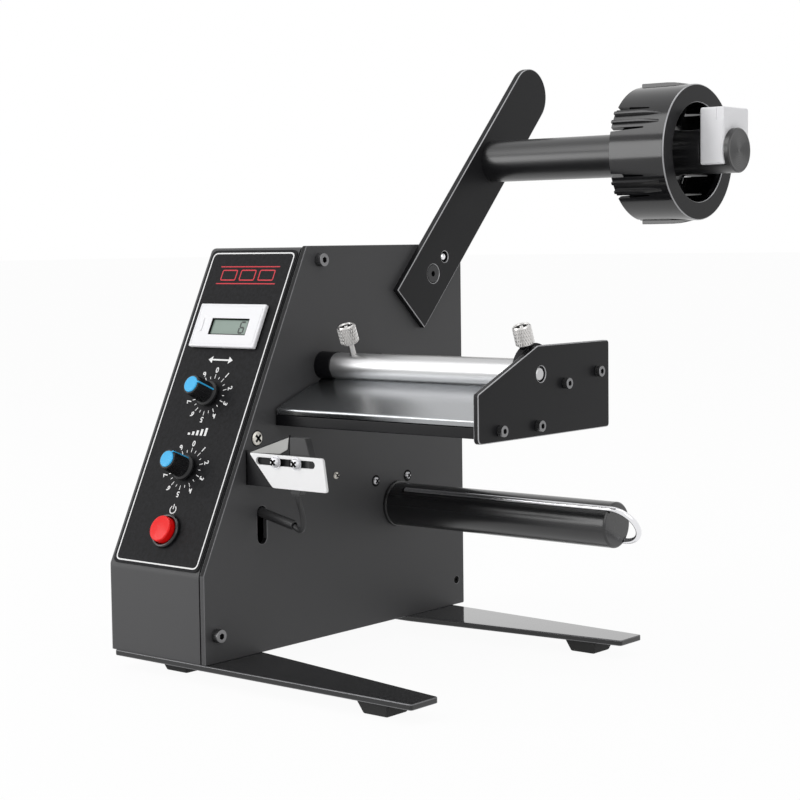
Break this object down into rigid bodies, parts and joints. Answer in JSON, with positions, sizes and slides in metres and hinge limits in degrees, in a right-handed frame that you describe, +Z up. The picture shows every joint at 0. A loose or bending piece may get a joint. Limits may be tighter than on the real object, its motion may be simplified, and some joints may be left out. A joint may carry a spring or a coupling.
{
  "type": "label dispenser",
  "caption": "Table-top label dispenser: a hub holds the label roll, a sloping plate peels labels and a driven spindle winds up the backing, beside a housing with two dials.",
  "frame": {"origin": "middle of the footprint, at the bottom of the rubber feet", "axes": "+X out of the side plate along the rollers, -Y towards the control panel, +Z up"},
  "size_m": [0.24, 0.2942, 0.3253],
  "materials": {
    "painted_sheet": "textured charcoal paint",
    "overlay": "matt printed film",
    "arm_black": "satin black",
    "gloss_black": "gloss black",
    "black_steel": "black oxide",
    "rubber": "matt",
    "white_plastic": "satin",
    "display": "liquid crystal window",
    "blue_cap": "satin",
    "red_button": "gloss",
    "chrome": "polished",
    "polished_steel": "mirror polished",
    "bright_steel": "satin",
    "zinc_steel": "zinc plated",
    "board": "lacquered",
    "belt": "matt"
  },
  "bodies": {
    "machine": {"side_plate": "painted_sheet", "housing_cover": "painted_sheet", "base_plate": "painted_sheet", "front_foot_bar": "gloss_black", "rear_foot_bar": "gloss_black", "button_housing": "gloss_black", "power_inlet": "gloss_black", "front_left_foot": "rubber", "front_right_foot": "rubber", "rear_left_foot": "rubber", "rear_right_foot": "rubber", "lead_sleeve": "rubber", "sensor_lead": "rubber", "panel_overlay": "overlay", "counter_display": "display", "counter_body": "white_plastic", "unwind_arm": "arm_black", "end_plate": "arm_black", "plate_support": "arm_black", "sensor_bracket": "arm_black", "sensor_head": "arm_black", "cover_screw_1": "black_steel", "cover_screw_2": "black_steel", "cover_screw_3": "black_steel", "arm_screw": "black_steel", "unwind_shaft": "black_steel", "end_screw_1": "black_steel", "end_screw_2": "black_steel", "end_screw_3": "black_steel", "end_screw_4": "black_steel", "arm_pin": "chrome", "label_bar": "chrome", "label_plate": "polished_steel", "gate_screw_1": "bright_steel", "gate_screw_2": "bright_steel", "length_potentiometer": "zinc_steel", "speed_potentiometer": "zinc_steel", "front_rod": "zinc_steel", "rear_rod": "zinc_steel", "bearing_block": "zinc_steel", "gear_motor": "zinc_steel", "motor_bracket": "zinc_steel", "circuit_board": "board", "drive_belt": "belt"},
    "core": {"core_hub": "gloss_black"},
    "retainer": {"hub_retainer": "white_plastic"},
    "spindle": {"rewind_spindle": "black_steel", "drive_shaft": "zinc_steel", "spindle_pulley": "black_steel"},
    "clip": {"spindle_clip": "chrome"},
    "drive_pulley": {"motor_pulley": "black_steel"},
    "length_dial": {"length_knob": "gloss_black", "length_knob_cap": "blue_cap"},
    "speed_dial": {"speed_knob": "gloss_black", "speed_knob_cap": "blue_cap"},
    "button": {"power_button": "red_button"},
    "left_thumb": {"left_thumb_screw": "bright_steel"},
    "ring": {"guide_ring": "arm_black"},
    "right_thumb": {"right_thumb_screw": "bright_steel"},
    "gate": {"gate_plate": "bright_steel"}
  },
  "joints": [
    {"name": "core_spin", "type": "hinge", "parent": "machine", "child": "core", "pos_m": [0.077, 0.09363, 0.26904], "axis": [1, 0, 0], "continuous": true},
    {"name": "retainer_lift", "type": "slide", "parent": "machine", "child": "retainer", "axis": [0, 0, 1], "range_m": [0, 0.03]},
    {"name": "spindle_spin", "type": "hinge", "parent": "machine", "child": "spindle", "pos_m": [0.025, 0.00574, 0.0758], "axis": [1, 0, 0], "continuous": true},
    {"name": "clip_pull", "type": "slide", "parent": "spindle", "child": "clip", "axis": [1, 0, 0], "range_m": [0, 0.14]},
    {"name": "drive_pulley_spin", "type": "hinge", "parent": "machine", "child": "drive_pulley", "pos_m": [-0.065, -0.04206, 0.076], "axis": [1, 0, 0], "continuous": true},
    {"name": "length_turn", "type": "hinge", "parent": "machine", "child": "length_dial", "pos_m": [-0.0845, -0.10452, 0.14318], "axis": [0, -0.8987, 0.4385], "range_deg": [-252, 72]},
    {"name": "speed_turn", "type": "hinge", "parent": "machine", "child": "speed_dial", "pos_m": [-0.0845, -0.12285, 0.10561], "axis": [0, -0.8987, 0.4385], "range_deg": [-292, 32]},
    {"name": "button_press", "type": "slide", "parent": "machine", "child": "button", "axis": [0, 0.8987, -0.4385], "range_m": [0, 0.0025], "stiffness_N_per_m": 600, "springref_m": -0.001},
    {"name": "left_thumb_turn", "type": "hinge", "parent": "machine", "child": "left_thumb", "pos_m": [-0.0242, -0.05506, 0.1572], "axis": [0, -0.3502, 0.9367], "range_deg": [0, 360]},
    {"name": "ring_slide", "type": "slide", "parent": "machine", "child": "ring", "axis": [1, 0, 0], "range_m": [-0.1, 0]},
    {"name": "right_thumb_turn", "type": "hinge", "parent": "ring", "child": "right_thumb", "pos_m": [0.0897, -0.05506, 0.1572], "axis": [0, -0.3502, 0.9367], "range_deg": [0, 360]},
    {"name": "gate_slide", "type": "slide", "parent": "machine", "child": "gate", "axis": [1, 0, 0], "range_m": [-0.004, 0.011]}
  ],
  "couplings": [
    {"joint": "drive_pulley_spin", "follows": "spindle_spin", "ratio": 2}
  ]
}
